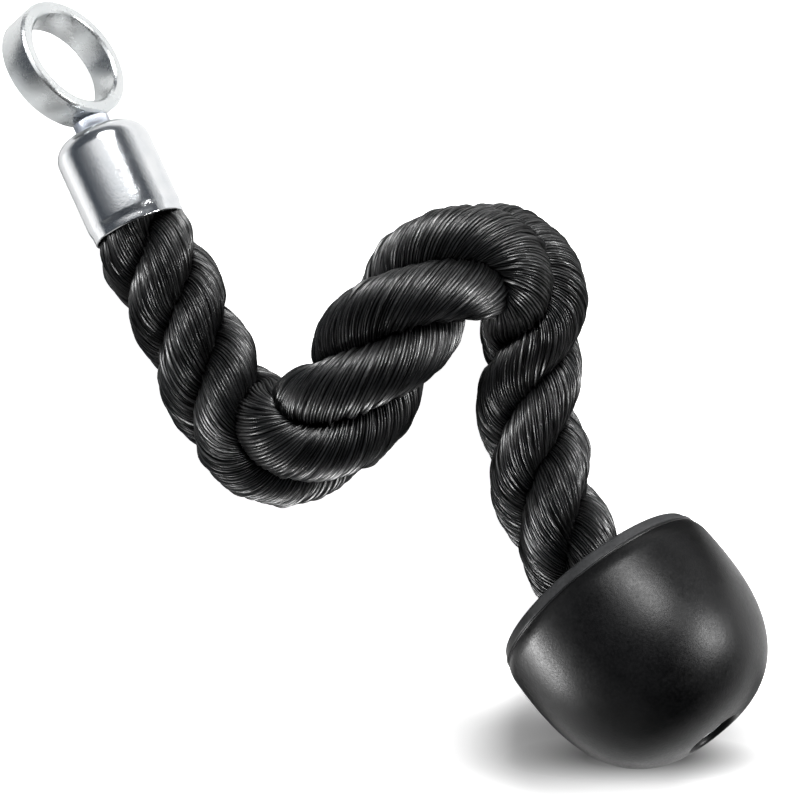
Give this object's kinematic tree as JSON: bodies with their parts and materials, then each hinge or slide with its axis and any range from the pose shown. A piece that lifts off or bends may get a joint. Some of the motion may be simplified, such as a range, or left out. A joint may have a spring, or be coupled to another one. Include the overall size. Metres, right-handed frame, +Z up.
{
  "type": "triceps rope attachment",
  "caption": "Single-grip pulldown rope: a swivelling band eye on a steel cup, a thick laid rope and a rubber ball that stops the hand.",
  "frame": {"origin": "middle of the rigid pieces' footprint on the surface that the attachment lies on", "axes": "+Z up from the surface, +Y along the cup's axis towards the eye, +X to the right of it seen from above"},
  "size_m": [0.1589, 0.3342, 0.0874],
  "materials": {
    "plated_steel": "bright plated",
    "polished_cup": "polished, lightly marked",
    "zinc_steel": "zinc plated",
    "black_rope": "glossy multifilament yarn",
    "black_rubber": "satin moulded"
  },
  "bodies": {
    "rope_grip": {"cup": "polished_cup", "thrust_washer": "zinc_steel", "rope_strand_1": "black_rope", "rope_strand_2": "black_rope", "rope_strand_3": "black_rope", "ball_stopper": "black_rubber", "rope_end_sleeve": "zinc_steel", "end_washer": "zinc_steel", "end_screw": "zinc_steel"},
    "swivel_eye": {"eye_ring": "plated_steel", "eye_stud": "plated_steel", "lock_nut": "zinc_steel"}
  },
  "joints": [
    {"name": "eye_swivel", "type": "hinge", "parent": "rope_grip", "child": "swivel_eye", "pos_m": [-0.0616, 0.1175, 0.022], "axis": [0, 1, 0], "continuous": true}
  ]
}
